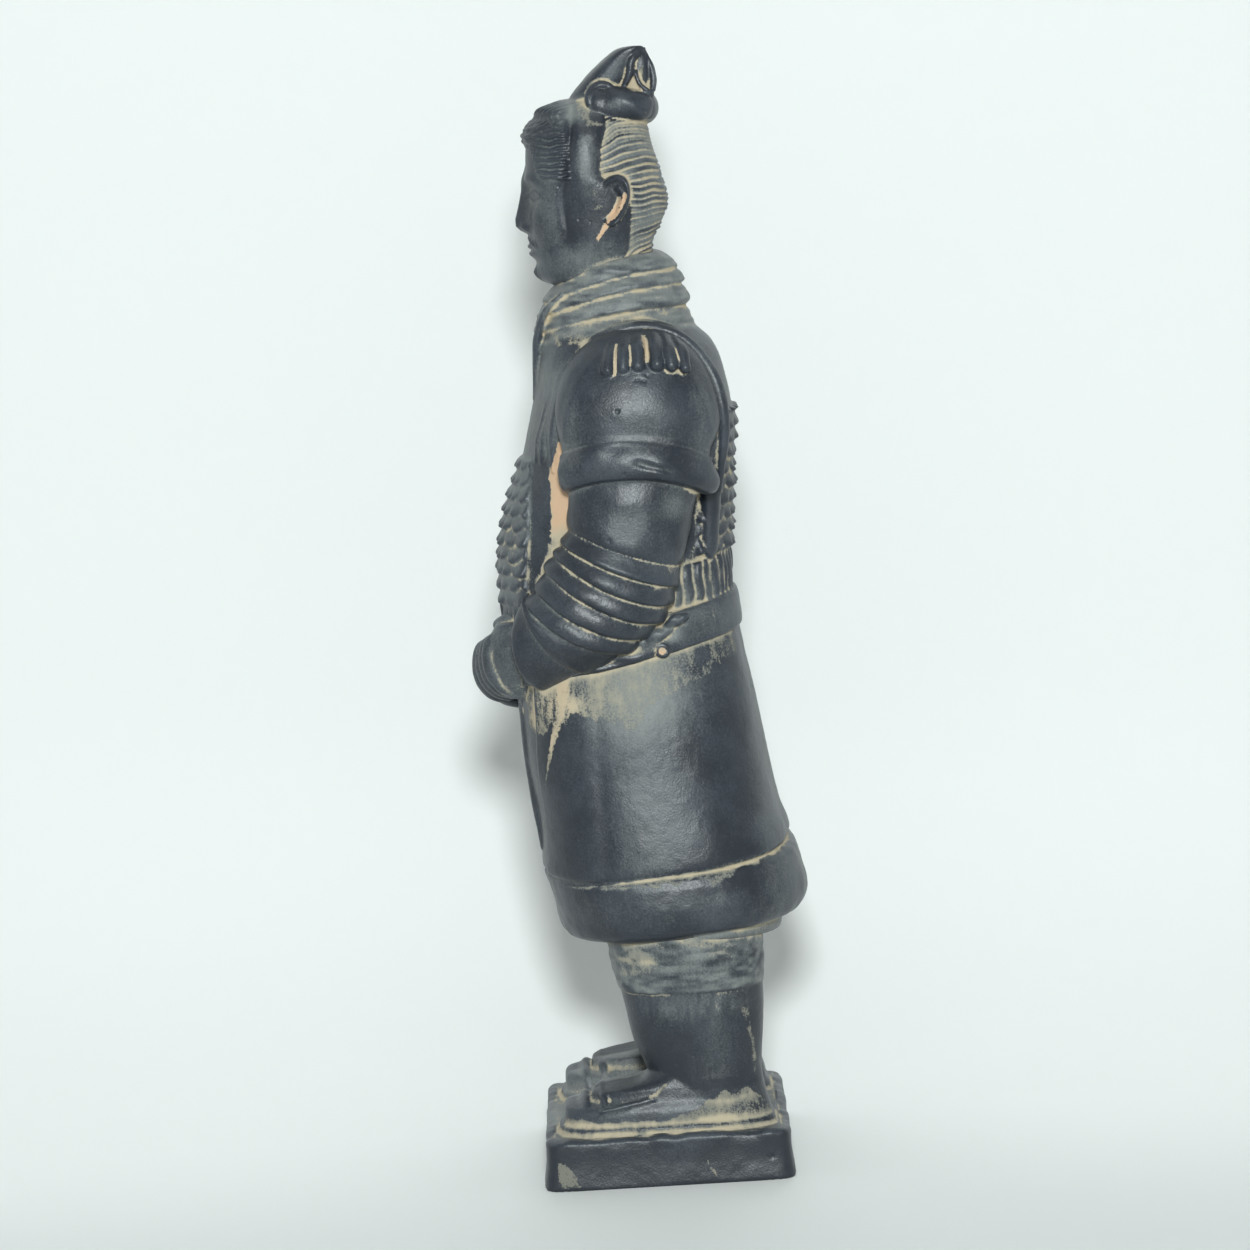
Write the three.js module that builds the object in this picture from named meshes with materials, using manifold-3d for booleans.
// A souvenir figurine of an ancient officer, cast in one piece of fired clay together with its square base.
// Millimetres, +Z up. The origin is the centre of the base's underside, and the figure faces -Y.
// Nearly every form is a loft of sections. A section is told by its front and back points in the side view,
// so the figure's true profile is read straight from the sections, and by its half width across X.
import * as THREE from "three";
import { LoftGeometry } from "three/addons/geometries/LoftGeometry.js";
import { mergeVertices } from "three/addons/utils/BufferGeometryUtils.js";
import Module from "manifold-3d";

const wasm = await Module();
wasm.setup();

// Driving dimensions.
const base = { width: 61, depth: 56, height: 11, draft: 0.03, corner: 3.2, edge: 0.7 };
const legSpread = 15.4; // from the middle to the centre of a leg
const bodyColumns = 34;
const armColumns = 16;
const scale = { width: 4.6, height: 4.0, lift: 1.0 }; // one armour plate
const frontArmour = { foot: 128, top: 168, halfWidth: 18.4, lift: 0.7 };
const backArmour = { foot: 138, top: 170, halfWidth: 18.4, lift: 0.7 };
const armourBorder = 2; // columns of plain edge beside the plates
const weld = 1e-4; // vertices closer than this are one
const faceting = 0.28; // the joined skin may be this far off its pieces

// A section of a loft: front and back are [y, z]. sag hangs the sides below the line between them, lead
// carries the outer side forward, and roll swells the surface between this section and the next.
const section = (front, back, halfWidth, more = {}) => ({
  frontY: front[0],
  frontZ: front[1],
  backY: back[0],
  backZ: back[1],
  halfWidth,
  centreX: 0,
  squareness: 2.2,
  sag: 0,
  lead: 0,
  roll: 0,
  ...more,
});

const mix = (a, b, t) => a + (b - a) * t;

// Cubic through b and c, with the neighbours a and d setting the slopes.
const cubic = (a, b, c, d, t) =>
  b + 0.5 * t * (c - a + t * (2 * a - 5 * b + 4 * c - d + t * (3 * (b - c) + d - a)));

// The section at a place between two of a list, all of its numbers blended alike.
function sectionAt(sections, place) {
  const i = Math.min(Math.floor(place), sections.length - 2);
  const t = place - i;
  const near = [i - 1, i, i + 1, i + 2].map((k) => sections[THREE.MathUtils.clamp(k, 0, sections.length - 1)]);
  const made = {};
  for (const key of Object.keys(sections[0])) made[key] = cubic(...near.map((s) => s[key]), t);
  const low = Math.pow(t, 0.75); // a fold hangs over: it is fullest a little below its middle
  made.swell = near[1].roll * Math.pow(Math.max(0, 1 - (2 * low - 1) ** 2), 0.6);
  return made;
}

// A point on a section's rim: angle 0 is at +X, a quarter turn is the back.
function rimPoint(s, angle, outward = 0) {
  const c = Math.cos(angle);
  const d = Math.sin(angle);
  const round = Math.pow(Math.abs(c) ** s.squareness + Math.abs(d) ** s.squareness, -1 / s.squareness);
  const halfY = (s.backY - s.frontY) / 2;
  const halfZ = (s.backZ - s.frontZ) / 2;
  const halfDepth = Math.hypot(halfY, halfZ);
  const depth = (halfDepth * round + outward) * d;
  const side = c * round;
  return new THREE.Vector3(
    s.centreX + s.halfWidth * side + outward * c,
    (s.frontY + s.backY) / 2 + (depth * halfY) / halfDepth - s.lead * side,
    (s.frontZ + s.backZ) / 2 + (depth * halfZ) / halfDepth - s.sag * side * side,
  );
}

// A closed mesh's geometry as a solid that can be joined and cut.
function solid(geometry) {
  const bare = new THREE.BufferGeometry();
  bare.setAttribute("position", geometry.attributes.position);
  bare.setIndex(geometry.index);
  const merged = mergeVertices(bare, weld);
  const corners = [];
  for (let i = 0; i < merged.index.count; i += 3) {
    const [a, b, c] = [0, 1, 2].map((k) => merged.index.getX(i + k));
    if (a !== b && b !== c && c !== a) corners.push(a, b, c);
  }
  return new wasm.Manifold(
    new wasm.Mesh({
      numProp: 3,
      vertProperties: merged.attributes.position.array,
      triVerts: new Uint32Array(corners),
    }),
  );
}

// A ring drawn together to its own middle, which closes the end of a loft as a fan.
function drawnTogether(ring) {
  const middle = ring.reduce((sum, p) => sum.add(p), new THREE.Vector3()).divideScalar(ring.length);
  return ring.map(() => middle);
}

// Rings of points into a closed solid. side -1 gives the mirror image, for the figure's right.
function skin(rings, side = 1) {
  const sections = rings.map((ring) => {
    const points = ring.map((p) => new THREE.Vector3(side * p.x, p.y, p.z));
    return side < 0 ? points.reverse() : points;
  });
  return solid(new LoftGeometry([drawnTogether(sections[0]), ...sections, drawnTogether(sections.at(-1))]));
}

// A loft through sections, from the lowest to the highest, with a few rings in each span.
function shell(sections, { columns = bodyColumns, steps = 2, side = 1, relief = null } = {}) {
  const rings = [];
  const count = (sections.length - 1) * steps;
  for (let k = 0; k <= count; k++) {
    const s = sectionAt(sections, k / steps);
    const ring = [];
    for (let j = 0; j < columns; j++) {
      const angle = (j / columns) * 2 * Math.PI;
      const point = rimPoint(s, angle, s.swell);
      if (relief) relief(point, angle);
      ring.push(point);
    }
    rings.push(ring);
  }
  return skin(rings, side);
}

// A round bar along a smooth curve, with a radius at each of its points.
function bar(points, radii, { columns = 7, steps = 2, side = 1, flat = 1 } = {}) {
  const curve = new THREE.CatmullRomCurve3(points.map((p) => new THREE.Vector3(...p)));
  const across = new THREE.Vector3(1, 0, 0);
  const rings = [];
  const count = (points.length - 1) * steps;
  for (let k = 0; k <= count; k++) {
    const t = k / count;
    const middle = curve.getPoint(t);
    const along = curve.getTangent(t);
    const normal = across.clone().addScaledVector(along, -across.dot(along)).normalize();
    const other = new THREE.Vector3().crossVectors(along, normal);
    const place = t * (radii.length - 1);
    const i = Math.min(Math.floor(place), radii.length - 2);
    const radius = mix(radii[i], radii[i + 1], place - i);
    const ring = [];
    for (let j = 0; j < columns; j++) {
      const angle = (j / columns) * 2 * Math.PI;
      ring.push(
        middle
          .clone()
          .addScaledVector(normal, radius * flat * Math.cos(angle))
          .addScaledVector(other, radius * Math.sin(angle)),
      );
    }
    rings.push(ring);
  }
  return skin(rings, side);
}

// An egg shape, turned about X and Z, for knots, ears and the rolled hair.
function egg(centre, size, { turnX = 0, turnZ = 0, columns = 10, rows = 7, side = 1 } = {}) {
  const geometry = new THREE.SphereGeometry(1, columns, rows);
  geometry.scale(...size);
  geometry.rotateX(turnX);
  geometry.rotateZ(side * turnZ);
  geometry.translate(side * centre[0], centre[1], centre[2]);
  return solid(geometry);
}

const join = (solids) => solids.reduce((all, next) => all.add(next));
const both = (make) => join([make(1), make(-1)]);
const hill = (x, centre, width) => Math.exp(-(((x - centre) / width) ** 2));

// The base, a little narrower at the top, as it left its mould. Its lower edge is sharp and lies flat.
function baseSlab() {
  const { corner, edge } = base;
  const x = base.width / 2 - edge;
  const y = base.depth / 2 - edge;
  const outline = new THREE.Shape();
  outline.moveTo(-x + corner, -y);
  outline.lineTo(x - corner, -y);
  outline.quadraticCurveTo(x, -y, x, -y + corner);
  outline.lineTo(x, y - corner);
  outline.quadraticCurveTo(x, y, x - corner, y);
  outline.lineTo(-x + corner, y);
  outline.quadraticCurveTo(-x, y, -x, y - corner);
  outline.lineTo(-x, -y + corner);
  outline.quadraticCurveTo(-x, -y, -x + corner, -y);
  const slab = new THREE.ExtrudeGeometry(outline, {
    depth: base.height - edge,
    bevelThickness: edge,
    bevelSize: edge,
    bevelSegments: 2,
    curveSegments: 4,
  });
  const corners = slab.attributes.position;
  for (let i = 0; i < corners.count; i++) {
    const z = corners.getZ(i);
    const narrow = 1 - (base.draft * z) / base.height;
    corners.setXYZ(i, corners.getX(i) * narrow, corners.getY(i) * narrow, z);
  }
  return solid(slab).trimByPlane([0, 0, 1], 0);
}

// A square-toed shoe with its sole, toe cap and laced instep.
function shoe(side) {
  const low = { centreX: legSpread + 0.6, squareness: 3.6 };
  const high = { centreX: legSpread + 0.4, squareness: 2.8 };
  const sole = shell(
    [
      section([-23.8, 10], [24.6, 10], 11.2, low),
      section([-23.9, 12.3], [24.4, 12.3], 11.2, low),
      section([-23.2, 12.9], [23.9, 12.9], 10.5, low),
    ],
    { columns: 16, steps: 1, side },
  );
  const upper = shell(
    [
      section([-22.9, 12], [23.8, 12], 10.3, low),
      section([-22.8, 16.2], [23.2, 15], 9.9, low),
      section([-21.2, 17.3], [22.4, 18], 9.2, high),
      section([-16.9, 17.8], [22.0, 20], 8.9, high),
      section([-16.1, 19.8], [21.8, 21.5], 8.6, high),
      section([-12.6, 20.5], [21.7, 23], 8.3, high),
      section([-5.6, 21.8], [21.5, 25.5], 8.0, high),
      section([-1.8, 25.6], [21.2, 29], 7.4, high),
    ],
    { columns: 16, steps: 1, side },
  );
  return sole.add(upper);
}

// A trouser leg: narrow at the ankle, with the wrapped band under the skirt.
function leg(side) {
  const at = { centreX: legSpread, squareness: 2.2 };
  const calf = [
    section([-0.6, 14], [22.6, 14], 9.6, at),
    section([-3.6, 23], [21.7, 22], 9.4, at),
    section([-6.2, 30], [22.6, 31], 9.9, at),
    section([-7.8, 37], [23.0, 37], 10.4, at),
    section([-8.9, 42.6], [23.1, 42.6], 10.7, at),
  ];
  const band = [
    section([-8.9, 42.2], [22.9, 42.2], 10.7, at),
    section([-9.7, 43.2], [23.4, 43.2], 11.2, at),
    section([-11.1, 52], [23.7, 52], 11.8, at),
    section([-11.6, 60], [23.8, 60], 11.9, at),
  ];
  return shell(calf, { columns: 18, steps: 1, side }).add(shell(band, { columns: 18, steps: 1, side }));
}

// The inner robe's edge, the wide hem band and the skirt of the robe above it.
function robe() {
  const boxy = { squareness: 2.6 };
  const inner = [
    section([-13.0, 52.2], [27.6, 52.4], 26.4, { ...boxy, sag: -1.4 }),
    section([-14.0, 53.4], [28.6, 53.6], 27.4, { ...boxy, sag: -1.4 }),
    section([-15, 60], [29, 60], 28.0, boxy),
  ];
  const hem = [
    section([-16.4, 53.0], [28.6, 56.4], 26.4, boxy),
    section([-20.4, 54.6], [32.8, 57.6], 30.0, boxy),
    section([-22.3, 60.4], [34.4, 61.2], 31.4, boxy),
    section([-23.2, 65.8], [33.9, 67], 31.3, boxy),
    section([-23.6, 68.2], [32.2, 71.6], 30.6, boxy),
    section([-22.6, 69.6], [30.4, 73.4], 29.4, boxy),
  ];
  const skirt = [
    section([-23.7, 67.4], [30.2, 72.2], 29.6, boxy),
    section([-24.6, 68.6], [30.9, 73.6], 30.1, boxy),
    section([-24.9, 74], [30.8, 76], 29.9, boxy),
    section([-25.3, 81], [29.1, 81], 28.9, boxy),
    section([-26.6, 91], [27.4, 91], 27.4, boxy),
    section([-27.2, 104], [25.5, 104], 25.8, boxy),
    section([-27.9, 114], [23.5, 115], 24.6, boxy),
    section([-28.6, 126], [21.4, 127], 23.4, boxy),
  ];
  return join([shell(inner, { steps: 1 }), shell(hem, { steps: 1 }), shell(skirt, { steps: 1 })]);
}

// The body inside its armour: level sections, so that the plates can follow its surface.
const torso = [
  section([-28.4, 120], [21.2, 120], 23.4, { squareness: 2.5 }),
  section([-29.4, 130], [21.0, 130], 23.0, { squareness: 2.5 }),
  section([-29.3, 139], [21.3, 139], 23.0, { squareness: 2.4 }),
  section([-27.4, 149], [22.0, 149], 23.6, { squareness: 2.3 }),
  section([-24.0, 159], [22.8, 159], 24.4, { squareness: 2.3 }),
  section([-21.3, 169], [23.7, 169], 25.0, { squareness: 2.3 }),
  section([-19.4, 178], [22.4, 178], 24.6, { squareness: 2.3 }),
  section([-18.3, 184], [20.2, 184], 22.4, { squareness: 2.3 }),
  section([-17.4, 189], [16.6, 188], 17.4, { squareness: 2.2 }),
  section([-16.2, 193], [13.2, 192], 12.0, { squareness: 2.1 }),
];

// The section at a height, of a loft whose sections lie about level.
function levelAt(sections, height) {
  let place = 0;
  while (place < sections.length - 2 && sections[place + 1].frontZ < height) place++;
  const [low, high] = [sections[place], sections[place + 1]];
  return sectionAt(sections, place + (height - low.frontZ) / (high.frontZ - low.frontZ));
}

// How far an armour plate stands up at a place, across and up: proud at its lower edge, tucked in at its top,
// with each row set half a plate over from the one below.
function plateRelief(across, up) {
  const row = Math.floor(up / scale.height);
  const rise = up / scale.height - row;
  const place = across / scale.width + (row % 2) / 2;
  const off = Math.abs(place - Math.round(place)) * 2;
  return scale.lift * (1 - 0.8 * rise) * (1 - 0.75 * off * off);
}

// A panel of plates, as a crescent that lies on the torso's front or back.
function armourPanel(middle, { foot, top, halfWidth, lift }) {
  const plates = Math.round((2 * halfWidth) / scale.width) * 2;
  const rows = Math.round((top - foot) / scale.height);
  const rings = [];
  for (let row = 0; row < rows; row++) {
    for (const rise of [0.06, 0.94]) {
      const height = foot + (row + rise) * scale.height;
      const s = levelAt(torso, height);
      const outer = [];
      const inner = [];
      for (let j = -armourBorder; j <= plates + armourBorder; j++) {
        const across = mix(-halfWidth, halfWidth, j / plates);
        const border = j < 0 || j > plates;
        const angle = middle + Math.asin(THREE.MathUtils.clamp(across / s.halfWidth, -0.97, 0.97));
        const relief = border ? 0.4 : plateRelief(across, (row + rise) * scale.height);
        outer.push(rimPoint(s, angle, lift + relief));
        if ((j + armourBorder) % 4 === 0) inner.push(rimPoint(s, angle, -3));
      }
      rings.push([...outer, ...inner.reverse()]);
    }
  }
  return skin(rings);
}

// The belt, lower in front than behind, and the short pleated fringe that hangs above it.
function waist() {
  const belt = [
    section([-28.6, 110.5], [22.6, 121.2], 24.6, { squareness: 2.5 }),
    section([-29.4, 111.6], [23.5, 122.2], 25.5, { squareness: 2.5 }),
    section([-30.4, 118.2], [22.6, 128.4], 24.9, { squareness: 2.5 }),
    section([-29.6, 119.4], [21.6, 129.2], 24.0, { squareness: 2.5 }),
  ];
  const fringe = [
    section([-29.3, 118], [21.4, 126.5], 23.4, { squareness: 2.5 }),
    section([-30.0, 128], [21.9, 135], 23.9, { squareness: 2.5 }),
    section([-29.6, 129.4], [21.5, 138.2], 23.4, { squareness: 2.5 }),
  ];
  const pleats = 25;
  const pleat = (point, angle) => {
    const depth = 0.45 * Math.cos(pleats * angle);
    point.x += depth * Math.cos(angle);
    point.y += depth * Math.sin(angle);
  };
  return shell(belt, { steps: 1 }).add(shell(fringe, { columns: 2 * pleats, steps: 1, relief: pleat }));
}

// The neck cloth: four soft rolls wound round the throat, higher at the nape than under the chin.
function neckCloth() {
  const arched = { sag: -1.8, squareness: 2.1 };
  return shell(
    [
      section([-17.0, 178.6], [15.2, 182.4], 16.2, { ...arched, roll: 0.5 }),
      section([-16.8, 183.4], [14.8, 187.0], 14.9, { ...arched, roll: 0.6 }),
      section([-16.4, 187.8], [14.2, 192.4], 13.8, { ...arched, roll: 0.8 }),
      section([-15.8, 191.4], [13.3, 197.2], 12.9, { ...arched, roll: 0.9 }),
      section([-15.2, 194.6], [12.4, 200.6], 12.0, { ...arched, roll: 0.8 }),
      section([-13.6, 198.4], [9.2, 204.8], 10.4, arched),
    ],
    { columns: 22, steps: 2 },
  );
}

// The robe's crossed collar, seen under the chin.
const collarBands = () =>
  both((side) =>
    bar(
      [
        [10.0, -9.0, 198.5],
        [9.4, -13.2, 194.5],
        [7.2, -15.8, 188],
        [2.2, -17.2, 180],
        [-4.4, -18.6, 173],
      ],
      [1.6, 1.9, 2.0, 2.0, 1.4],
      { columns: 6, side, flat: 1.4 },
    ),
  );

// A sleeve, from the cuff up. Its sections fan out round the elbow, close at the crook and wide at the point,
// and each is a crease with a fold of cloth above it.
function sleeve(side) {
  const round = { squareness: 2.15 };
  return shell(
    [
      section([-24.6, 135.6], [-16.8, 112.2], 8.2, { ...round, centreX: 13.2, lead: 4.4 }),
      section([-26.4, 137.4], [-18.4, 110.0], 9.8, { ...round, centreX: 14.2, lead: 5.6 }),
      section([-25.2, 133.2], [-9.4, 112.7], 10.6, { ...round, centreX: 17.6, sag: 1.4, lead: 3.4, roll: 0.9 }),
      section([-23.4, 129.6], [-2.6, 119.0], 10.7, { ...round, centreX: 20.2, sag: 2.4, lead: 1.2, roll: 1.1 }),
      section([-20.9, 132.8], [0.7, 122.0], 10.8, { ...round, centreX: 21.4, sag: 2.3, lead: 0.8, roll: 1.1 }),
      section([-18.6, 137.0], [3.8, 125.2], 10.6, { ...round, centreX: 22.4, sag: 2.0, lead: 0.6, roll: 1.1 }),
      section([-16.6, 140.4], [6.2, 129.0], 10.3, { ...round, centreX: 23.2, sag: 1.8, lead: 0.4, roll: 1.1 }),
      section([-14.6, 142.9], [7.7, 133.2], 10.0, { ...round, centreX: 23.8, sag: 1.0, lead: 0.3, roll: 1.1 }),
      section([-13.4, 146.3], [9.2, 137.4], 9.5, { ...round, centreX: 24.3, sag: 0.6, lead: 0.2, roll: 0.9 }),
      section([-12.8, 157.0], [14.8, 156.0], 8.5, { ...round, centreX: 24.6, sag: -3.0 }),
    ],
    { columns: armColumns, steps: 2, side },
  );
}

// The armour's shoulder guard over the sleeve: a rolled lower band and a domed cap.
function shoulderGuard(side) {
  const round = { squareness: 2.2 };
  return shell(
    [
      section([-13.9, 154.4], [16.6, 152.3], 9.4, { ...round, centreX: 24.4, sag: -4.0, roll: 1.3 }),
      section([-14.2, 163.1], [17.4, 160.8], 9.4, { ...round, centreX: 24.6, sag: -3.8, roll: 0.4 }),
      section([-15.4, 172.6], [20.2, 168.4], 9.8, { ...round, centreX: 24.0, sag: -2.4, roll: 0.2 }),
      section([-12.8, 181.0], [18.6, 178.6], 9.6, { ...round, centreX: 22.0, sag: -0.6 }),
      section([-7.8, 186.2], [14.0, 185.6], 7.8, { ...round, centreX: 19.8 }),
      section([-1.6, 188.8], [7.4, 188.6], 3.8, { ...round, centreX: 18.2 }),
    ],
    { columns: 18, steps: 2, side },
  );
}

// The strip of armour that runs round the armhole, over the shoulder from chest to back.
const armhole = (side) =>
  bar(
    [
      [20.4, -17.2, 156],
      [20.8, -16.6, 168],
      [20.4, -13.4, 178.5],
      [18.4, -6.6, 187.2],
      [17.4, 4.0, 190.2],
      [18.8, 13.4, 187.0],
      [20.8, 19.4, 178.4],
      [21.4, 21.4, 168],
      [20.6, 20.4, 154],
    ],
    [1.2, 1.7, 1.9, 1.9, 1.9, 1.9, 1.9, 1.7, 1.2],
    { columns: 6, steps: 1, side },
  );

// The pleated ribbon tied on top of each shoulder.
function shoulderRibbon(side) {
  const strips = 8;
  const made = [];
  for (let i = 0; i < strips; i++) {
    const fan = i / (strips - 1) - 0.5;
    const y = 4.6 + 18 * fan;
    made.push(
      bar(
        [
          [22.4, mix(4.6, y, 0.72), 187.9 - 5 * fan * fan],
          [29.2, mix(4.6, y, 0.9), 185.4 - 6 * fan * fan],
          [32.4, y, 180.4 - 4 * fan * fan],
        ],
        [0.7, 1.05, 1.0],
        { columns: 5, steps: 1, side },
      ),
    );
  }
  return join(made);
}

// A hand: its back runs from the cuff to the knuckles, and four fingers curl down and back under it.
function hand(side, drop, reach) {
  const palm = shell(
    [
      section([-31.0 + reach, 108.2 - drop], [-22.0, 106.6 - drop], 5.0, { centreX: 6.2 }),
      section([-33.8 + reach, 112.0 - drop], [-19.0, 109.6 - drop], 7.0, { centreX: 7.2 }),
      section([-35.8 + reach, 117.0 - drop], [-16.0, 114.6 - drop], 7.8, { centreX: 8.2 }),
      section([-34.6 + reach, 120.8 - drop], [-15.4, 121.0 - drop], 7.4, { centreX: 8.8 }),
      section([-30.6 + reach, 123.4 - drop], [-17.0, 126.6 - drop], 5.4, { centreX: 9.6 }),
    ],
    { columns: 14, steps: 1, side },
  );
  const fingers = [];
  for (let i = 0; i < 4; i++) {
    const x = 9.8 - 3.4 * i;
    const low = drop + 0.7 * i;
    const out = reach - 0.25 * i;
    fingers.push(
      bar(
        [
          [x + 0.8, -30.0 + out, 121.4 - low],
          [x + 0.3, -34.2 + out, 119.0 - low],
          [x, -35.2 + out, 114.6 - low],
          [x - 0.3, -32.6 + out, 110.4 - low],
          [x - 0.4, -28.6 + out, 108.8 - low],
        ],
        [1.4, 1.8, 1.8, 1.7, 1.2],
        { columns: 6, steps: 1, side },
      ),
    );
  }
  const thumb = bar(
    [
      [13.0, -23.5, 124 - drop],
      [9.2, -28.2 + reach, 125.0 - drop],
      [4.2, -31.6 + reach, 123.4 - drop],
    ],
    [2.0, 1.9, 1.3],
    { columns: 6, steps: 2, side },
  );
  return join([palm, ...fingers, thumb]);
}

// The pointed apron of the armour and the folds of the robe's opening below the hands.
function apron() {
  const folds = [-6.2, -2.1, 2.1, 6.2].map((x) =>
    bar(
      [
        [x * 0.9, -25.7, 112],
        [x * 0.85, -25.3, 100],
        [x * 0.75, -24.9, 86],
        [x * 0.7, -24.0, 72],
      ],
      [2.3, 2.2, 1.6, 0.8],
      { columns: 6, steps: 1 },
    ),
  );
  const point = shell(
    [
      section([-27.6, 98], [-22, 98], 2.4, { squareness: 2.6 }),
      section([-27.9, 105], [-22, 105], 8, { squareness: 2.8 }),
      section([-28.7, 112], [-22, 112], 13, { squareness: 2.8 }),
      section([-29.4, 120], [-22, 120], 16, { squareness: 2.8 }),
    ],
    { columns: 16, steps: 1 },
  );
  return join([point, ...folds]);
}

// The head on calm, evenly divided proportions: eyes at half height, nose and mouth by thirds.
const head = { chin: 198.6, crown: 238.8, eyeLine: 218.6, browLine: 222.4, noseFoot: 210.8, mouth: 206.4 };

// How far the face stands forward of the plain head at a place across and up.
function faceRelief(x, z) {
  const side = Math.abs(x);
  const along = THREE.MathUtils.clamp((head.browLine - z) / (head.browLine - head.noseFoot), 0, 1);
  const bridge = z < head.browLine + 1.5 && z > head.noseFoot - 1.6 ? mix(0.9, 3.9, along) : 0;
  return (
    bridge * hill(side, 0, mix(1.7, 2.5, along)) * hill(Math.min(0, z - head.noseFoot), 0, 1.4) +
    0.9 * hill(side, 5.4, 4) * hill(z, head.browLine, 1.6) -
    1.6 * hill(side, 5.2, 2.7) * hill(z, head.eyeLine, 2.1) +
    0.9 * hill(side, 5.4, 1.9) * hill(z, head.eyeLine, 1.1) +
    0.8 * hill(side, 7.2, 3) * hill(z, 212.6, 3.4) +
    1.1 * hill(side, 0, 3.6) * hill(z, head.mouth, 1.9) -
    0.9 * hill(side, 0, 4) * hill(z, 203.4, 1.1) +
    1.4 * hill(side, 0, 4.2) * hill(z, 200.6, 2)
  );
}

const skull = [
  section([-10, 193], [7, 193], 8.4),
  section([-12.6, 197.4], [7.6, 197], 9.2),
  section([-16.0, 199.6], [8.0, 200], 10.2),
  section([-17.4, 202.6], [8.3, 203.6], 11.2),
  section([-18.2, 206.4], [8.8, 207.4], 12.1),
  section([-18.6, 210.8], [10.7, 211], 12.8),
  section([-18.7, 214.8], [12.3, 215], 13.2),
  section([-18.8, 218.6], [12.1, 219], 13.4),
  section([-18.9, 222.4], [11.0, 223], 13.4),
  section([-18.7, 227.4], [9.8, 228], 13.0),
  section([-17.8, 232.4], [8.9, 232.4], 11.8),
  section([-15.2, 236.2], [8.4, 236], 9.6),
  section([-10.6, 238.6], [7.2, 238.4], 6.4),
  section([-5.0, 239.6], [4.0, 239.4], 3.0),
];

// The plain head, with the face worked into it and its columns drawn towards the face.
function headShell() {
  const columns = 28;
  const rings = [];
  const count = (skull.length - 1) * 2;
  for (let k = 0; k <= count; k++) {
    const s = sectionAt(skull, k / 2);
    const ring = [];
    for (let j = 0; j < columns; j++) {
      const turn = (j / columns) * 2 * Math.PI;
      const point = rimPoint(s, turn - 0.42 * Math.cos(turn), 0);
      if (point.y < -4) point.y -= faceRelief(point.x, point.z) * THREE.MathUtils.smoothstep(-point.y, 4, 12);
      ring.push(point);
    }
    rings.push(ring);
  }
  return skin(rings);
}

// A lock of hair sunk into the head, through points told by turn (degrees from the side) and height.
const lock = (path, radii, side, sunk = 0.5) =>
  bar(
    path.map(([turn, height]) => rimPoint(levelAt(skull, height), THREE.MathUtils.degToRad(turn), -sunk).toArray()),
    radii,
    { columns: 6, steps: 1, side },
  );

// The combed hair: over the temples towards the back, and from behind the ears up to the knot.
function hair() {
  const made = [];
  const front = 6;
  for (let i = 0; i < front; i++) {
    const t = i / (front - 1);
    const low = mix(235.4, 225.2, t);
    made.push(
      both((side) =>
        lock(
          [
            [mix(-86, -62, t), low],
            [mix(-62, -48, t), low + 0.7],
            [mix(-40, -34, t), low + 0.2],
          ],
          [0.7, 1.3, 0.8],
          side,
        ),
      ),
    );
  }
  const back = 6;
  for (let i = 0; i < back; i++) {
    const t = i / (back - 1);
    const low = mix(206.4, 226, t);
    made.push(
      both((side) =>
        lock(
          [
            [mix(44, 20, t), low],
            [mix(64, 48, t), low + 2.4],
            [88, low + 5.6],
          ],
          [0.8, 1.2, 0.9],
          side,
        ),
      ),
    );
  }
  const temple = [[-20, 211.5], [-24, 217], [-25, 223], [-22, 228.5], [-12, 232.5]];
  made.push(both((side) => lock(temple, [2.4, 3.1, 3.4, 3.2, 2.4], side, 2.3)));
  return join(made);
}

function ear(side) {
  const shape = { turnX: 0.2, turnZ: -0.35, side };
  const bowl = egg([13.2, 0.2, 216.4], [1.5, 3.0, 5.4], { ...shape, columns: 8, rows: 6 });
  const rim = bar(
    [
      [13.8, -2.2, 219.6],
      [14.3, -0.6, 221.9],
      [14.6, 2.4, 221.2],
      [14.6, 3.4, 218],
      [14.2, 2.2, 214],
      [13.8, 0.4, 211.4],
    ],
    [0.6, 0.9, 1.0, 1.0, 1.0, 1.1],
    { columns: 5, steps: 1, side },
  );
  return bowl.add(rim);
}

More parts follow.
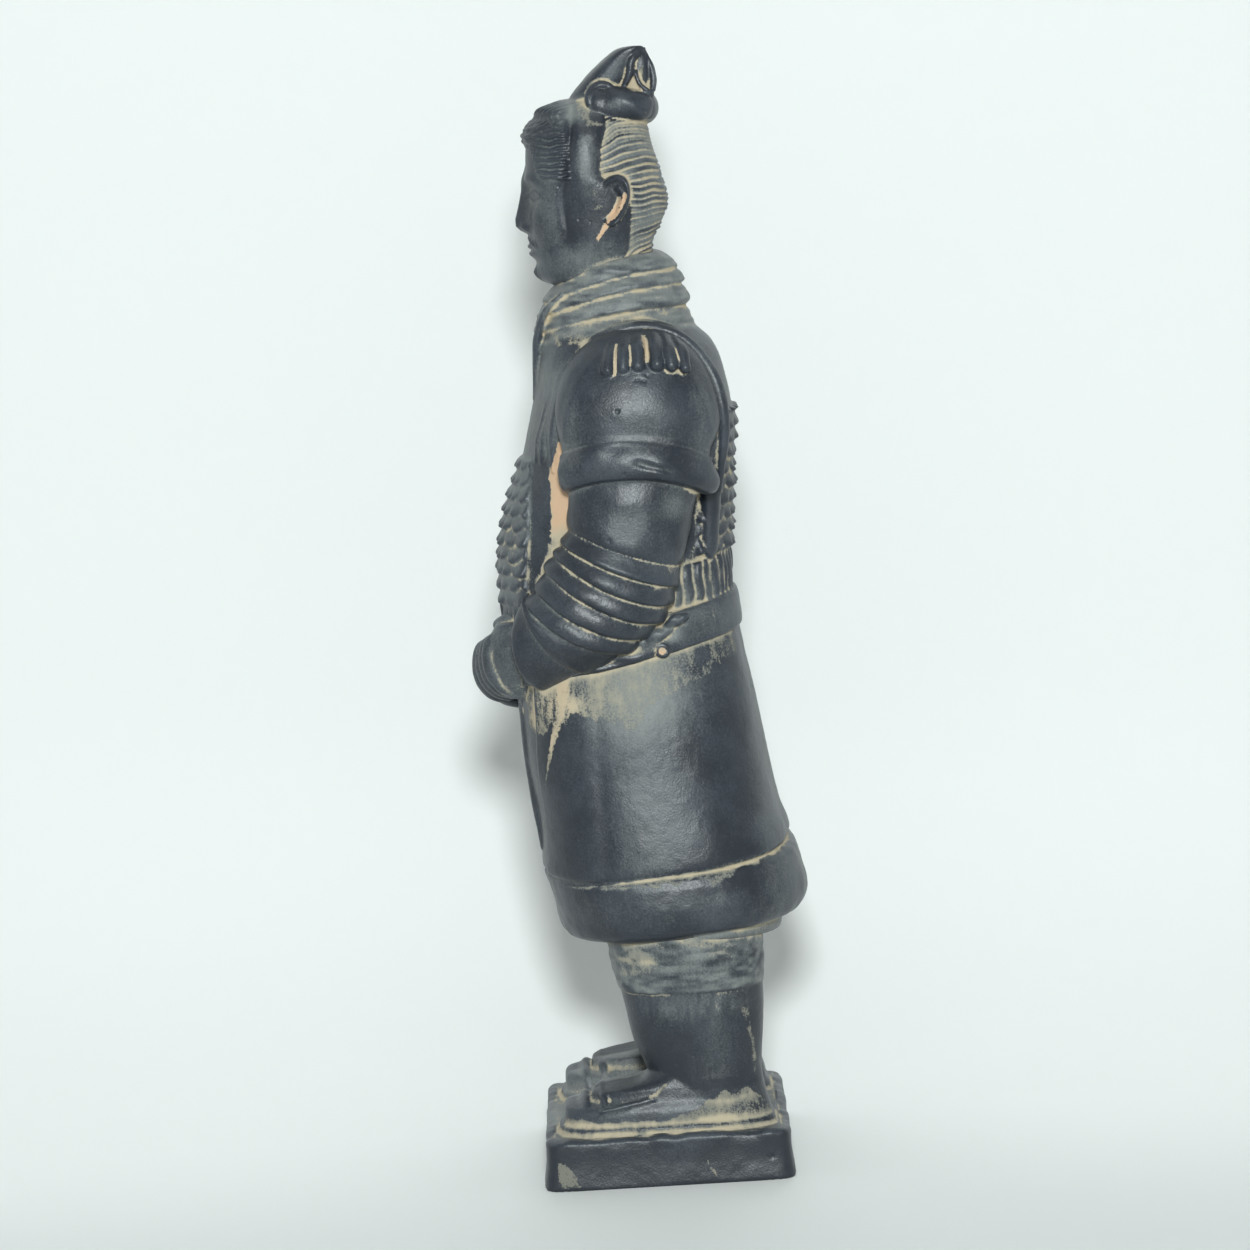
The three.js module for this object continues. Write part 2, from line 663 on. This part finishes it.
// The officer's cap: a blade that rises backwards, split behind into two tails, over a rolled bow.
function cap() {
  const blade = shell(
    [
      section([-9.6, 235], [5.6, 234], 6.0, { squareness: 2.6 }),
      section([-8.2, 239.2], [4.0, 239.4], 6.2, { squareness: 2.6 }),
      section([-5.4, 242.6], [5.0, 242.2], 6.4, { squareness: 2.6 }),
      section([-2.4, 245.6], [6.2, 244.8], 6.6, { squareness: 2.8 }),
      section([2.2, 249.2], [7.8, 248.2], 6.9, { squareness: 2.8 }),
      section([5.6, 250.0], [8.6, 249.9], 6.6, { squareness: 2.8 }),
    ],
    { columns: 16, steps: 1 },
  );
  const tails = both((side) =>
    shell(
      [
        section([2, 235], [9.8, 234], 2.4, { centreX: 3.0 }),
        section([3, 240], [10.6, 239.6], 2.4, { centreX: 3.2 }),
        section([5, 245], [10.3, 243.8], 2.1, { centreX: 3.8 }),
        section([7, 249.4], [9.1, 249.6], 1.2, { centreX: 4.6 }),
      ],
      { columns: 10, steps: 1, side },
    ),
  );
  const rolls = both((side) => egg([6.4, 2.4, 237.0], [4.2, 7.0, 3.9], { turnX: -0.06, side }));
  const knot = egg([0, 8.2, 236.4], [6.6, 3.2, 3.7], { columns: 10, rows: 6 });
  return join([blade, tails, rolls, knot]);
}

const rough = join([
  baseSlab(),
  both(shoe),
  both(leg),
  robe(),
  shell(torso, { steps: 1 }),
  armourPanel(-Math.PI / 2, frontArmour),
  armourPanel(Math.PI / 2, backArmour),
  waist(),
  apron(),
  neckCloth(),
  collarBands(),
  both(sleeve),
  both(shoulderGuard),
  both(armhole),
  both(shoulderRibbon),
  hand(1, 0, 0),
  hand(-1, 1.2, 2.4),
  headShell(),
  both(ear),
  hair(),
  cap(),
]);
// The outer skin alone: a pocket that the pieces close off inside the clay is filled, as it is in the casting.
const bodies = rough.asOriginal().simplify(faceting).decompose();
const statue = bodies.reduce((largest, next) => (next.volume() > largest.volume() ? next : largest));

// The joined solid back as a three.js mesh.
function meshOf(made, name, material) {
  const { numProp, numVert, vertProperties, triVerts } = made.getMesh();
  const positions = new Float32Array(numVert * 3);
  for (let i = 0; i < numVert; i++) {
    positions.set(vertProperties.subarray(i * numProp, i * numProp + 3), i * 3);
  }
  const geometry = new THREE.BufferGeometry();
  geometry.setAttribute("position", new THREE.BufferAttribute(positions, 3));
  geometry.setIndex(new THREE.BufferAttribute(triVerts, 1));
  geometry.computeVertexNormals();
  const mesh = new THREE.Mesh(geometry, material);
  mesh.name = name;
  return mesh;
}

const blackClay = new THREE.MeshStandardMaterial({ color: 0x3c4149, roughness: 0.55, metalness: 0 });

const figure = new THREE.Group();
figure.add(meshOf(statue, "warrior_statue", blackClay));

export default figure;
